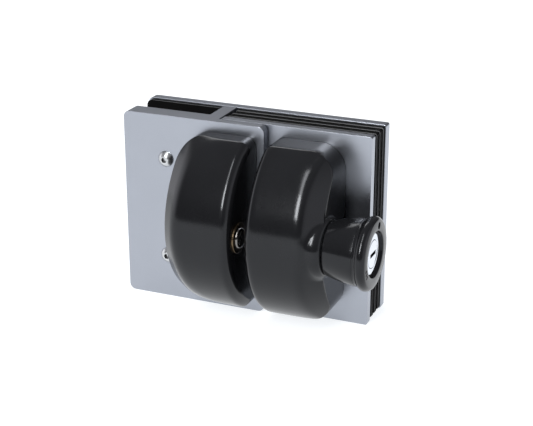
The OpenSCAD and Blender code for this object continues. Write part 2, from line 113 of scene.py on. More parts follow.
# %% [markdown]
# ## Helpers for node materials
#
# Every finish here is worked out by shader nodes from the place of a point on the piece, so it
# needs no image and it stays on the piece when the piece moves. Effects that several finishes
# share are node groups: small boxes of nodes with named sockets.

# %% Start a node group
FLOAT, COLOUR, VECTOR = "NodeSocketFloat", "NodeSocketColor", "NodeSocketVector"


def start_group(name, inputs, outputs):
    """An empty shader group with the given sockets, as (name, type, default) and (name, type)."""
    group = bpy.data.node_groups.new(name, "ShaderNodeTree")
    for socket_name, kind, value in inputs:
        socket = group.interface.new_socket(socket_name, in_out="INPUT", socket_type=kind)
        socket.default_value = value
    for socket_name, kind in outputs:
        group.interface.new_socket(socket_name, in_out="OUTPUT", socket_type=kind)
    return group, group.nodes.new("NodeGroupInput"), group.nodes.new("NodeGroupOutput")


# %% Build the grain group
GRAIN_DETAIL = 2.0


def make_grain_group():
    """Fine grain: a noise over the surface as a bump and as a value around a half."""
    group, given, result = start_group(
        "fine_grain",
        [("Scale", FLOAT, 2000.0), ("Depth", FLOAT, 0.00001)],
        [("Value", FLOAT), ("Normal", VECTOR)])
    link = group.links.new
    coords = group.nodes.new("ShaderNodeTexCoord")
    noise = group.nodes.new("ShaderNodeTexNoise")
    noise.inputs["Detail"].default_value = GRAIN_DETAIL
    bump = group.nodes.new("ShaderNodeBump")
    bump.inputs["Strength"].default_value = 1.0
    link(coords.outputs["Object"], noise.inputs["Vector"])
    link(given.outputs["Scale"], noise.inputs["Scale"])
    link(noise.outputs["Fac"], bump.inputs["Height"])
    link(given.outputs["Depth"], bump.inputs["Distance"])
    link(noise.outputs["Fac"], result.inputs["Value"])
    link(bump.outputs["Normal"], result.inputs["Normal"])
    return group


GRAIN = make_grain_group()
print("node group", GRAIN.name, "with", len(GRAIN.nodes), "nodes")

# %% Build the tone group
CLOUD_DETAIL, CLOUD_LOW, CLOUD_HIGH = 3.0, 0.35, 0.65


def make_tone_group():
    """Slow change of tone: a soft cloud that mixes a darker and a lighter colour."""
    group, given, result = start_group(
        "slow_tone",
        [("Scale", FLOAT, 40.0), ("Dark", COLOUR, (0, 0, 0, 1)), ("Light", COLOUR, (1, 1, 1, 1))],
        [("Color", COLOUR)])
    link = group.links.new
    coords = group.nodes.new("ShaderNodeTexCoord")
    noise = group.nodes.new("ShaderNodeTexNoise")
    noise.inputs["Detail"].default_value = CLOUD_DETAIL
    spread = group.nodes.new("ShaderNodeMapRange")
    spread.inputs["From Min"].default_value = CLOUD_LOW
    spread.inputs["From Max"].default_value = CLOUD_HIGH
    mix = group.nodes.new("ShaderNodeMix")
    mix.data_type = "RGBA"
    link(coords.outputs["Object"], noise.inputs["Vector"])
    link(given.outputs["Scale"], noise.inputs["Scale"])
    link(noise.outputs["Fac"], spread.inputs["Value"])
    link(spread.outputs["Result"], mix.inputs["Factor"])
    link(given.outputs["Dark"], mix.inputs["A"])
    link(given.outputs["Light"], mix.inputs["B"])
    link(mix.outputs["Result"], result.inputs["Color"])
    return group


TONE = make_tone_group()
print("node group", TONE.name, "with", len(TONE.nodes), "nodes")

# %% Write one finish
CLOUD_SCALE = 45.0


def finish(name, colour, metallic, roughness, tone=0.04, rough_spread=0.05,
           grain_size=0.5, grain_depth=0.004, ior=1.45):
    """A finish: a base colour with a slow change of tone, and a grain that makes the gloss live.

    grain_size and grain_depth are in millimetres, tone and rough_spread are shares."""
    material = bpy.data.materials.new(name)
    material.use_nodes = True
    nodes, link = material.node_tree.nodes, material.node_tree.links.new
    shader = nodes["Principled BSDF"]
    shader.inputs["Metallic"].default_value = metallic
    shader.inputs["IOR"].default_value = ior
    cloud = nodes.new("ShaderNodeGroup")
    cloud.node_tree = TONE
    cloud.inputs["Scale"].default_value = CLOUD_SCALE
    cloud.inputs["Dark"].default_value = (*[c * (1 - tone) for c in colour], 1)
    cloud.inputs["Light"].default_value = (*[c * (1 + tone) for c in colour], 1)
    grain = nodes.new("ShaderNodeGroup")
    grain.node_tree = GRAIN
    grain.inputs["Scale"].default_value = 1 / (grain_size * MM)
    grain.inputs["Depth"].default_value = grain_depth * MM
    gloss = nodes.new("ShaderNodeMapRange")
    gloss.inputs["To Min"].default_value = roughness - rough_spread
    gloss.inputs["To Max"].default_value = roughness + rough_spread
    link(cloud.outputs["Color"], shader.inputs["Base Color"])
    link(grain.outputs["Value"], gloss.inputs["Value"])
    link(gloss.outputs["Result"], shader.inputs["Roughness"])
    link(grain.outputs["Normal"], shader.inputs["Normal"])
    return material


# %% [markdown]
# ## The finishes
#
# The plates are cast and satin plated, so they blur what they mirror. The housings and the knob
# are black plastic from a polished mould, which mirrors a cool grey. The sheets in the slots are
# soft rubber whose faces swallow the light; their cut edges get a lighter colour of their own, a
# painted highlight. Small steel parts are turned or drawn, and the lock is chromed. A picture of
# each surface would show more, but it would blur close by and need unwrapping; a few nodes give
# every piece its finish at any size.

# %% Make the finishes
SATIN = finish("satin_plate", (0.365, 0.385, 0.43), 1.0, 0.32, tone=0.015,
               grain_size=0.25, grain_depth=0.0015)
MOULDED = finish("black_moulding", (0.008, 0.0082, 0.0092), 0.0, 0.16, tone=0.1,
                 rough_spread=0.03, grain_size=1.2, grain_depth=0.0012, ior=1.38)
PLAIN_BLACK = finish("black_plain_plastic", (0.02, 0.02, 0.021), 0.0, 0.45, tone=0.1,
                     grain_size=0.4, grain_depth=0.006)
RUBBER = finish("black_rubber", (0.006, 0.006, 0.006), 0.0, 0.5, tone=0.15,
                rough_spread=0.1, grain_size=0.5, grain_depth=0.01, ior=1.06)
# Painted highlight: the rubber's cut edges get a lighter colour than its faces.
RUBBER_EDGE_HIGHLIGHT = finish("rubber_painted_edge_highlight", (0.06, 0.061, 0.064), 0.0, 0.4, tone=0.25,
                     rough_spread=0.1, grain_size=0.5, grain_depth=0.01)
# Painted shade, with some grease and dust, for the walls of the screws' sockets.
SOCKET_SHADE_AND_GREASE = finish("socket_painted_shade_and_grease", (0.03, 0.03, 0.033), 0.5, 0.45)
STEEL = finish("steel", (0.56, 0.57, 0.58), 1.0, 0.28, grain_size=0.2, grain_depth=0.001)
CHROME = finish("bright_chrome", (0.68, 0.71, 0.76), 1.0, 0.10, tone=0.01,
                rough_spread=0.03, grain_size=0.8, grain_depth=0.0005)
BRASS = finish("brass", (0.16, 0.115, 0.07), 1.0, 0.25, grain_size=0.2, grain_depth=0.001)
# Painted shade: a darker copy of the chrome for the bolt, which sits in the dark gap.
BOLT_SHADED_CHROME = finish("chrome_painted_shade", (0.20, 0.19, 0.18), 1.0, 0.16, tone=0.05,
                     rough_spread=0.05, grain_size=0.6, grain_depth=0.001)
MOULDED_GLINT = (0.93, 0.955, 1.0, 1)
MOULDED.node_tree.nodes["Principled BSDF"].inputs["Specular Tint"].default_value = MOULDED_GLINT

FINISH_OF_SLOT = {
    "satin_plate": SATIN, "black_moulding": MOULDED, "black_plain_plastic": PLAIN_BLACK,
    "black_rubber": RUBBER, "steel": STEEL, "bright_chrome": CHROME, "brass": BRASS,
}


def dress(piece, material):
    """Gives a piece one finish."""
    piece.data.materials.clear()
    piece.data.materials.append(material)


for node, slot in SLOT_OF.items():
    dress(NODES[node], FINISH_OF_SLOT[slot])
# The bolt takes the darker chrome, painted shade for the gap it sits in.
dress(NODES["latch_bolt"], BOLT_SHADED_CHROME)
print("finishes:", sorted(FINISH_OF_SLOT))

# %% [markdown]
# ## Helpers for surfaces
#
# Each new piece is a grid of points that one formula gives at once. A row of the grid is a
# closed line round the piece, and the next row is the same line carried a little further. The
# ends close by themselves where all the points of a row meet, once those points are merged.

# %% Turn a grid into a closed mesh
SHARP_DEG = 32.0
MERGE_MM = 0.0005


def grid_faces(rows, columns, round_trip=False):
    """Four-sided faces between the rows of a grid whose columns run right round."""
    row, column = np.meshgrid(np.arange(rows if round_trip else rows - 1), np.arange(columns),
                              indexing="ij")
    below, beside = (row + 1) % rows, (column + 1) % columns
    corners = [row * columns + column, row * columns + beside,
               below * columns + beside, below * columns + column]
    return np.stack(corners, -1).reshape(-1, 4)


def smooth_shade(mesh):
    """Smooth shading, with every edge sharper than an angle kept crisp."""
    mesh.shade_smooth()
    mesh.set_sharp_from_angle(angle=radians(SHARP_DEG))


def solid_piece(name, points, faces):
    """A closed piece from points in millimetres: doubles are merged and faces point outwards."""
    mesh = bpy.data.meshes.new(name)
    mesh.from_pydata((np.reshape(points, (-1, 3)) * MM).tolist(), [], np.asarray(faces).tolist())
    work = bmesh.new()
    work.from_mesh(mesh)
    bmesh.ops.remove_doubles(work, verts=work.verts, dist=MERGE_MM * MM)
    bmesh.ops.dissolve_degenerate(work, edges=work.edges, dist=MERGE_MM * MM)
    bmesh.ops.recalc_face_normals(work, faces=work.faces)
    loose = [e for e in work.edges if not e.link_faces]
    bmesh.ops.delete(work, geom=loose, context="EDGES")
    if work.calc_volume(signed=True) < 0:
        bmesh.ops.reverse_faces(work, faces=work.faces)
    open_edges = sum(not e.is_manifold for e in work.edges)
    work.to_mesh(mesh)
    work.free()
    smooth_shade(mesh)
    piece = bpy.data.objects.new(name, mesh)
    bpy.context.scene.collection.objects.link(piece)
    print(name, len(mesh.polygons), "faces,", open_edges, "open edges")
    return piece


# %% Settle modifiers, and cut one solid with another
PAST = 1.0  # millimetres that a cutting tool reaches past the face it cuts


def settle(piece):
    """Puts the result of a piece's modifiers into its mesh."""
    graph = bpy.context.evaluated_depsgraph_get()
    mesh = bpy.data.meshes.new_from_object(piece.evaluated_get(graph))
    piece.modifiers.clear()
    piece.data = mesh


def carve(piece, tool, how="DIFFERENCE"):
    """Cuts a solid with a tool, or joins them, and throws the tool away."""
    change = piece.modifiers.new("carve", "BOOLEAN")
    change.object, change.operation, change.solver = tool, how, "MANIFOLD"
    settle(piece)
    smooth_shade(piece.data)
    bpy.data.objects.remove(tool)


def stand_for(piece, node):
    """Hides a node and gives a piece its body and the finish of its slot."""
    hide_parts(node)
    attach(piece, BODY_OF[node])
    dress(piece, FINISH_OF_SLOT[SLOT_OF[node]])


# %% Turned solids and plain bars
def turned(name, profile, y, columns=180):
    """A closed profile of (x, radius) turned about the line along X at depth y and height 0."""
    x, r = np.array(profile, float).T
    turn = np.linspace(0, 2 * pi, columns, endpoint=False)
    grid = np.stack([np.broadcast_to(x[:, None], (len(x), columns)),
                     y + r[:, None] * np.cos(turn), r[:, None] * np.sin(turn)], -1)
    return solid_piece(name, grid, grid_faces(len(x), columns, round_trip=True))


def bar_x(x0, x1, r, y):
    """A round bar along X, used as a cutting tool."""
    return turned("tool", [(x0, 0), (x0, r), (x1, r), (x1, 0)], y, columns=96)


def corners_of(mesh):
    """The places of a mesh's corners, one row (x, y, z) each, in metres."""
    places = np.empty(len(mesh.vertices) * 3)
    mesh.vertices.foreach_get("co", places)
    return places.reshape(-1, 3)


def bar_y(y0, y1, r, x, z):
    """A round bar along Y, used as a cutting tool: X and Y change places, and Z turns over."""
    tool = turned("tool", [(y0, 0), (y0, r), (y1, r), (y1, 0)], 0, columns=64)
    along, beside, up = corners_of(tool.data).T
    places = np.stack([beside + x * MM, along, z * MM - up], -1)
    tool.data.vertices.foreach_set("co", places.ravel())
    tool.data.flip_normals()
    return tool


def bar_of(ring, x0, x1):
    """A bar along X whose section is a ring of (y, z) points, used as a cutting tool."""
    middle = np.broadcast_to(ring.mean(0), ring.shape)
    grid = np.stack([np.column_stack([np.full(len(ring), x), section])
                     for x, section in ((x0, middle), (x0, ring), (x1, ring), (x1, middle))])
    return solid_piece("tool", grid, grid_faces(*grid.shape[:2]))


# %% [markdown]
# ## The housings
#
# Each housing is a hollow moulding. Its front is a wide barrel that turns softly into a flat top
# and bottom, rounds off beside the gap and falls away in a slope on the outer side. It could be
# boxes cut by barrels, but that leaves knife edges where the real mould has none. Here the front
# is one height field: each place on it takes the deepest of the barrel, the round edge and the
# slope, with a little blending where two of them meet, and the outline's edge is then rounded.
# The latch's housing also grows a collar towards the knob, blended into the front the same way.
#
# A slope is given as how far it drops, the radius of the arc that starts it, and the radius of
# the barrel at its end. Its barrel gets smaller as it leans back, so the slope is widest in the
# middle and narrows upwards and downwards.

# %% Sizes of the housings, in millimetres
HOUSING_W, HOUSING_H = 33.8, 80.0
BARREL_R, BARREL_Y = 45.0, -5.6  # the wide barrel of the front, and how deep its axis lies
SHOULDER_R = 3.2  # where the barrel turns to the flat top and bottom
OUTER_R, GAP_R = 11.5, 4.5  # corners of the outline, on the outer side and beside the gap
GAP_EDGE_R = 5.0  # the round edge of the front beside the gap
FLAT_W = 26.0  # width before the slope starts
LATCH_SLOPE, STRIKER_SLOPE = (9.2, 7.0, 40.0), (7.0, 12.0, 37.0)
WALL = 2.6
FRONT_Y = BARREL_Y - BARREL_R
KNOB_Y, BOLT_Y = FRONT_Y + 17.0, FRONT_Y + 11.8
STRIKER_RIGHT, LATCH_LEFT = 20.5, 27.5
LATCH_RIGHT = LATCH_LEFT + HOUSING_W
COLLAR_R, COLLAR_TIP_R = 15.0, 12.5
COLLAR_START, COLLAR_END, COLLAR_POWER = LATCH_RIGHT - 3.6, LATCH_RIGHT + 1.2, 1.9
EDGE_R, COLLAR_EDGE_R = 2.2, 0.3
BLEND, EDGE_BLEND, COLLAR_BLEND = 1.6, 0.8, 2.4
print("housings", HOUSING_W, "x", HOUSING_H, "mm, front at", FRONT_Y, "bolt at", BOLT_Y,
      "knob at", KNOB_Y)


# %% Blend two depths
def deeper(a, b, blend=BLEND):
    """The larger of two depths, with a parabola of the given width where they cross."""
    near = np.clip(blend - np.abs(a - b), 0, None)
    return np.maximum(a, b) + near ** 2 / (4 * blend)


def nearer(a, b, blend=BLEND):
    """The smaller of two depths, blended in the same way."""
    return -deeper(-a, -b, blend)


# %% The front of a housing as a height field
def barrel_depth(up, inset):
    """Depth of the barrel: y = Y - sqrt(R^2 - z^2), then a small circle that turns to the top.

    The two circles touch at the height where the line through their centres meets the rim."""
    r, soft, half = BARREL_R - inset, SHOULDER_R - inset, HOUSING_H / 2 - inset
    soft_y = BARREL_Y - sqrt((r - soft) ** 2 - (half - soft) ** 2)
    over = np.clip(np.abs(up) - (half - soft), 0, soft)
    wide = BARREL_Y - np.sqrt(np.clip(r ** 2 - up ** 2, 0, None))
    tight = soft_y - np.sqrt(soft ** 2 - over ** 2)
    return np.where(np.abs(up) < (half - soft) * r / (r - soft), wide, tight)


def slope_depth(across, up, inset, slope, steps=32):
    """Depth of the slope: the envelope, so the largest depth, of barrels that lean back.

    With a lean a, a barrel lies at y + (sin a (across - x) - sqrt(r^2 - z^2)) / cos a. Each
    barrel's front line touches the arc that softens the start of the slope."""
    drop, soft_r, end_r = slope
    whole = atan2(drop, HOUSING_W - FLAT_W)
    centre = FLAT_W - soft_r * tan(whole / 2)
    share = np.arange(1, steps + 1)[:, None] / steps
    lean = whole * share
    r = (BARREL_R + (end_r - BARREL_R) * share) / np.cos(lean)
    x = centre - (r - soft_r) * np.sin(lean)
    y = FRONT_Y + soft_r + (r - soft_r) * np.cos(lean)
    flat_across, flat_up = np.ravel(across), np.ravel(up)
    reach = np.sqrt((r - inset) ** 2 - flat_up ** 2)
    depth = y + (np.sin(lean) * (flat_across - x) - reach) / np.cos(lean)
    return depth.max(0).reshape(np.shape(across))


def collar_radius(x):
    """Radius of the latch's collar: a cylinder whose end rounds off like a superellipse."""
    share = np.clip((x - COLLAR_START) / (COLLAR_END - COLLAR_START), 0, 1)
    round_off = (1 - share ** COLLAR_POWER) ** (1 / COLLAR_POWER)
    return COLLAR_TIP_R + (COLLAR_R - COLLAR_TIP_R) * round_off


def front_depth(across, up, inset, edge_r, slope, collar):
    """Depth of the housing's front at a distance across from the gap side and a height up.

    Beside the gap the barrel's radius shrinks by e - sqrt(e^2 - off^2), a quarter circle."""
    off = np.clip(edge_r - (across - inset), 0, edge_r)
    drop = edge_r - np.sqrt(edge_r ** 2 - off ** 2)
    edge = BARREL_Y - np.sqrt(np.clip((BARREL_R - inset - drop) ** 2 - up ** 2, 0, None))
    depth = deeper(deeper(barrel_depth(up, inset), edge, EDGE_BLEND),
                   slope_depth(across, up, inset, slope))
    if collar:
        radius = collar_radius(LATCH_LEFT + across)
        ring = KNOB_Y - np.sqrt(np.clip(radius ** 2 - up ** 2, 0, None))
        depth = nearer(depth, np.where(np.abs(up) < radius, ring, 0.0), COLLAR_BLEND)
    return depth


# %% [markdown]
# ## The closed form round the front
#
# Seen from the front a housing is a rectangle with round corners, larger on the outer side. The
# grid follows this outline once round, and each row is the outline moved on: up the wall, round
# the edge, and in over the front until it shrinks to an upright line in the middle. An extruded
# outline with a Bevel modifier would give the same walls, but the bevel breaks where the slope
# meets the wall at a flat angle and keeps one width where the real edge gets softer.

# %% The outline of a housing
CORNER_STEPS, SIDE_STEPS, TOP_STEPS = 26, 150, 40
SPINE = 20.0  # half the length of the line in the middle


def outline_ring(inset):
    """Points, outward directions and spine points round the outline, four corners and sides.

    A corner's points are centre + (R - inset) (cos a, sin a), and a side's lie evenly between two
    corners. The spine is the upright line in the middle, to which the front's rows shrink."""
    half = HOUSING_H / 2
    corners = [(OUTER_R, HOUSING_W - OUTER_R, half - OUTER_R, 0),
               (GAP_R, GAP_R, half - GAP_R, 90),
               (GAP_R, GAP_R, GAP_R - half, 180),
               (OUTER_R, HOUSING_W - OUTER_R, OUTER_R - half, 270)]
    arcs = []
    for radius, across, up, start in corners:
        turn = np.radians(start + np.linspace(0, 90, CORNER_STEPS))
        facing = np.stack([np.cos(turn), np.sin(turn)], -1)
        arcs.append((np.array([across, up]) + (radius - inset) * facing, facing))
    points, facings, spines = [], [], []
    for number, (arc, facing) in enumerate(arcs):
        after = arcs[(number + 1) % 4][0]
        steps = TOP_STEPS if number % 2 == 0 else SIDE_STEPS
        share = np.linspace(0, 1, steps + 2)[1:-1, None]
        points += [arc, arc[-1] + (after[0] - arc[-1]) * share]
        facings += [facing, np.repeat(facing[-1:], steps, 0)]
        level = SPINE if number in (0, 1) else -SPINE
        end = SPINE if number in (0, 3) else -SPINE
        spines += [np.full(CORNER_STEPS, level), level + (end - level) * share[:, 0]]
    spine = np.concatenate(spines)
    middle = np.stack([np.full_like(spine, HOUSING_W / 2), spine], -1)
    return np.concatenate(points), np.concatenate(facings), middle


# %% Carry the outline up the walls and over the front
FOOT_GAP, FOOT_STEP, WALL_STEP = 0.25, 0.05, 0.5
EDGE_STEPS, FRONT_STEPS, NEAR_SHARE, NEAR_STEP_DEG = 9, 26, 0.4, 6
COLLAR_FADE, OUTER_SIDE = 1.0, 0.9
SLOPE_STEP = 0.02


def housing_solid(name, base_y, slope, inset=0.0, edge_r=GAP_EDGE_R, soft=EDGE_R, collar=False):
    """A closed housing form: base, walls, a rounded edge and the front, row by row.

    At the outline the wall and the front meet at an angle. A parabola rounds it: it leaves the
    wall and joins the front at a distance of soft times the tangent of half that angle."""
    rim, facing, spine = outline_ring(inset)
    inward = spine - rim
    clear = -(inward * facing).sum(-1)

    def depth_at(share):
        place = rim + inward * share[:, None]
        return place, front_depth(place[:, 0], place[:, 1], inset, edge_r, slope, collar)

    crease = front_depth(rim[:, 0], rim[:, 1], inset, edge_r, slope, collar)
    beside = rim - facing * SLOPE_STEP
    climb = front_depth(beside[:, 0], beside[:, 1], inset, edge_r, slope, collar) - crease
    bend = np.arctan2(1.0, np.clip(-climb / SLOPE_STEP, 0, None))
    if collar:
        off_end = COLLAR_R + COLLAR_FADE - np.abs(rim[:, 1])
        at_collar = np.clip(off_end / (2 * COLLAR_FADE), 0, 1) * (facing[:, 0] > OUTER_SIDE)
        soft = soft + (COLLAR_EDGE_R - soft) * at_collar
    trim = soft * np.tan(bend / 2)
    start = trim * np.sin(bend) / clear
    joined, join_y = depth_at(start)

    def row(place, y):
        return np.stack([place[:, 0], np.broadcast_to(y, len(place)), place[:, 1]], -1)

    inner_foot = rim - facing * FOOT_GAP
    rows = [row(spine, base_y), row(inner_foot, base_y), row(inner_foot, base_y - FOOT_GAP),
            row(rim, base_y - FOOT_GAP - FOOT_STEP), row(rim, crease + trim + WALL_STEP)]
    wall_top, corner, front_start = row(rim, crease + trim), row(rim, crease), row(joined, join_y)
    for t in np.linspace(0, 1, EDGE_STEPS):
        rows.append((1 - t) ** 2 * wall_top + 2 * t * (1 - t) * corner + t ** 2 * front_start)
    near = NEAR_SHARE * (1 - np.cos(np.radians(np.arange(NEAR_STEP_DEG, 91, NEAR_STEP_DEG))))
    for share in [*near, *np.linspace(NEAR_SHARE, 1, FRONT_STEPS)[1:]]:
        rows.append(row(*depth_at(start + (1 - start) * share)))
    grid = np.stack(rows)
    return solid_piece(name, grid, grid_faces(*grid.shape[:2]))


def place_housing(piece, gap_x, way):
    """Moves a housing form to its gap side, facing right (1) or mirrored (-1)."""
    places = corners_of(piece.data) * [way, 1, 1] + [gap_x * MM, 0, 0]
    piece.data.vertices.foreach_set("co", places.ravel())
    if way < 0:
        piece.data.flip_normals()
    return piece


# %% [markdown]
# ## The hollow and the bores
#
# The real housing has an even wall, a block round each screw and a round hole for each bush. A
# Solidify modifier could give the wall, but it would fold over itself in the tight corners. Here
# the same form is worked out again with the wall taken off, the blocks are cut out of that
# inner form, and what is left is cut out of the housing.

# %% Hollow a housing and bore it
GATE_FACE, FRONT_FACE = -17.1, -11.9
INNER_EDGE_R, INNER_SOFT = 0.8, 0.5
BOSS_R, BOSS_LEN, BOSS_ROOF, BOSS_SUNK, SCREW_R, HOLE_UP = 3.6, 12.0, 2.0, 0.6, 1.53, 28.0
OUTER_HOLE_IN = 1.2
HOLES_ACROSS = (WALL + BOSS_R - BOSS_SUNK, HOUSING_W - WALL - OUTER_HOLE_IN)


def housing(name, base_y, gap_x, way, slope, bores, lug=None, ring=None):
    """A hollow housing: form less cavity, with a block round each screw and round bores."""
    shell = place_housing(housing_solid(name, base_y, slope, collar=bool(ring)), gap_x, way)
    if ring:
        carve(shell, turned("tool", ring, KNOB_Y), "UNION")
    inner = housing_solid("cavity", base_y + PAST, slope, WALL, INNER_EDGE_R, INNER_SOFT)
    cavity = place_housing(inner, gap_x, way)
    screws = [(gap_x + way * across, side * HOLE_UP) for across in HOLES_ACROSS
              for side in (-1, 1)]
    for x, z in screws:
        carve(cavity, bar_y(base_y - BOSS_LEN, base_y + 3 * PAST, BOSS_R, x, z))
    if lug:
        carve(cavity, bar_x(*lug))
    carve(shell, cavity)
    for x, z in screws:
        carve(shell, bar_y(base_y - BOSS_LEN + BOSS_ROOF, base_y + PAST, SCREW_R, x, z))
    for bore in bores:
        carve(shell, bar_x(*bore))
    print(name, len(shell.data.polygons), "faces after the bores")
    return shell


# %% Make the latch's housing
KEEPER_BORE_R, GUIDE_BORE_R = 7.03, 5.63
RING_DEEP, RING_LAP, RING_SUNK, COVER = 8.0, 0.3, 0.2, 0.02
ring_reach = COLLAR_END - COLLAR_START + RING_LAP
ring_x = COLLAR_END - ring_reach * np.cos(np.linspace(0, pi / 2, 24))
ring_profile = [(LATCH_RIGHT - RING_DEEP, 0), (LATCH_RIGHT - RING_DEEP, COLLAR_R - RING_SUNK),
                (ring_x[0] - RING_LAP, COLLAR_R - RING_SUNK),
                *zip(ring_x, collar_radius(ring_x) + COVER), (COLLAR_END, 0)]
latch = housing(
    "latch_cover", FRONT_FACE, LATCH_LEFT, 1, LATCH_SLOPE,
    [(LATCH_LEFT - PAST, LATCH_LEFT + WALL + PAST, KEEPER_BORE_R, BOLT_Y),
     (LATCH_RIGHT - WALL - PAST, COLLAR_END + PAST, GUIDE_BORE_R, KNOB_Y)], ring=ring_profile)
stand_for(latch, "latch_housing")

# %% Make the striker's housing
LUG_START, LUG_R, BOLT_BORE_R = 11.0, 8.5, 6.03
striker = housing(
    "striker_cover", GATE_FACE, STRIKER_RIGHT, -1, STRIKER_SLOPE,
    [(LUG_START - PAST, STRIKER_RIGHT + PAST, BOLT_BORE_R, BOLT_Y)],
    lug=(LUG_START, STRIKER_RIGHT + 5 * PAST, LUG_R, BOLT_Y))
stand_for(striker, "striker_housing")

# %% [markdown]
# ## The knob
#
# The knob is turned: a body that swells towards its outer end, and a rim with a round bead
# whose end face is sunk around the lock. A turned piece needs only its profile: a Screw modifier
# could carry it round, but a grid gives closed ends and keeps the sizes exact. A small plain
# dimple and three tick marks in the face show how far the key has been turned.

# %% Sizes of the knob, in millimetres
KNOB_START = COLLAR_END + 0.15
NECK_R, WAIST_R, RIM_R = 12.3, 15.0, 16.5
GRIP_END = LATCH_RIGHT + 15.6
KNOB_END = GRIP_END + 6.2
BEAD_R, MOUTH_R, MOUTH_DEPTH = 2.6, 10.3, 1.6
MOUTH_FLOOR = KNOB_END - MOUTH_DEPTH
LOCK_R, ROD_R, SPIGOT_R, FIT = 9.63, 4.03, 12.6, 0.03
LOCK_START = KNOB_END - 10.6
CAM_ROOM = LOCK_START - 2.5
SPIGOT_START = GRIP_END - 2.4
print("knob from", round(KNOB_START, 2), "to", round(KNOB_END, 2), "mm")


# %% Round the corners of a profile
TINY = 1e-9


def rounded(corners, steps=6):
    """A closed profile from corners (x, radius, softness): each soft one becomes a parabola.

    It runs (1 - t)^2 a + 2 t (1 - t) corner + t^2 b, where a and b lie on the corner's two sides
    at the softness's distance from it."""
    corner = np.array(corners, float)
    place, soft = corner[:, :2], corner[:, 2]
    count = np.where(soft > 0, steps, 1)
    number = np.repeat(np.arange(len(place)), count)
    t = np.concatenate([np.linspace(0, 1, c) if c > 1 else [0.5] for c in count])[:, None]

    def beside(neighbour):
        way = neighbour - place
        far = np.maximum(np.linalg.norm(way, axis=1, keepdims=True), TINY)
        return (place + soft[:, None] * way / far)[number]

    before, after = beside(np.roll(place, 1, 0)), beside(np.roll(place, -1, 0))
    return (1 - t) ** 2 * before + 2 * t * (1 - t) * place[number] + t ** 2 * after


def plain(points):
    """Profile points that need no rounding."""
    return [(x, r, 0) for x, r in points]


# %% Turn the knob's body
BODY_SOFT, BODY_TRIM = 0.15, 0.3
SWELL_END, SWELL_POWER = 0.95, 1.35
share = np.linspace(0, 1, 40)
swell = 1 - (1 - np.clip(share / SWELL_END, 0, 1)) ** SWELL_POWER
body = np.stack([KNOB_START + BODY_TRIM + (GRIP_END - KNOB_START - 2 * BODY_TRIM) * share,
                 NECK_R + BODY_SOFT + (WAIST_R - NECK_R - BODY_SOFT) * swell], -1)
profile = rounded([
    (KNOB_START, ROD_R, 0.2), (KNOB_START, NECK_R, BODY_SOFT), *plain(body),
    (GRIP_END, WAIST_R, BODY_SOFT), (GRIP_END, SPIGOT_R + FIT, 0),
    (SPIGOT_START, SPIGOT_R + FIT, 0), (SPIGOT_START, LOCK_R, 0), (CAM_ROOM, LOCK_R, 0),
    (CAM_ROOM, ROD_R, 0)])
knob_body = turned("knob_body", profile, KNOB_Y)
stand_for(knob_body, "pull_knob")

# %% Turn the rim
HOLLOW_R = 2.0
BEAD_CUT = 0.93  # the face cuts the bead at this share of its radius
bead_x, bead_ring = KNOB_END - BEAD_CUT * BEAD_R, RIM_R - BEAD_R
hollow_ring = WAIST_R + HOLLOW_R
hollow_x = bead_x - sqrt((HOLLOW_R + BEAD_R) ** 2 - (hollow_ring - bead_ring) ** 2)
touch = atan2(hollow_ring - bead_ring, hollow_x - bead_x)
dip = np.linspace(-pi / 2, touch - pi, 10)
hollow = np.stack([hollow_x + HOLLOW_R * np.cos(dip), hollow_ring + HOLLOW_R * np.sin(dip)], -1)
swing = np.linspace(touch, np.arcsin(sqrt(1 - BEAD_CUT ** 2)), 40)
bead = np.stack([bead_x + BEAD_R * np.cos(swing), bead_ring + BEAD_R * np.sin(swing)], -1)
print("hollow to bead", hollow[-1].round(2), bead[0].round(2), "bead ends", bead[-1].round(2))
profile = rounded([
    (GRIP_END, SPIGOT_R, 0), (GRIP_END, WAIST_R, 0.12), *plain(hollow), *plain(bead[1:]),
    (KNOB_END, MOUTH_R, 0.5), (MOUTH_FLOOR, MOUTH_R, 0.3), (MOUTH_FLOOR, LOCK_R, 0.1),
    (SPIGOT_START, LOCK_R, 0), (SPIGOT_START, SPIGOT_R, 0.3)])
rim = turned("knob_rim", profile, KNOB_Y, columns=240)

# %% Mark the knob's face
MARK_R, MARK_DEPTH = (MOUTH_R + bead[-1][1]) / 2, 0.5
DIMPLE_TURN, DIMPLE_R = 72, 1.6
TICK_TURNS, TICK_LONG, TICK_WIDE = (196, 204, 212), 1.1, 0.45


def face_tool(turn_deg, half_along, half_wide, points, first=0.0):
    """A cutting tool for the face: a bar along X with its corners on an ellipse.

    The ellipse is turned with the face, from straight behind the knob's axis."""
    c, s = cos(radians(turn_deg)), sin(radians(turn_deg))
    turn = first + np.linspace(0, 2 * pi, points, endpoint=False)
    along, wide = MARK_R + half_along * np.cos(turn), half_wide * np.sin(turn)
    ring = np.stack([KNOB_Y + along * c - wide * s, along * s + wide * c], -1)
    return bar_of(ring, KNOB_END - MARK_DEPTH, KNOB_END + PAST)


carve(rim, face_tool(DIMPLE_TURN, DIMPLE_R, DIMPLE_R, 40))
for tick_turn in TICK_TURNS:
    carve(rim, face_tool(tick_turn, TICK_LONG * sqrt(2), TICK_WIDE * sqrt(2), 4, pi / 4))
stand_for(rim, "knob_end_cap")

# %% [markdown]
# ## The lock
#
# The lock is a chromed barrel pressed into the knob, with a plug inside it that the key turns.
# Both are made on a lathe, so both are profiles here too. The hair line between them and the
# keyway could be dark paint, but here they are real gaps, which look right from every side, and
# the keyway turns with the key. It is a block cut out of the plug.

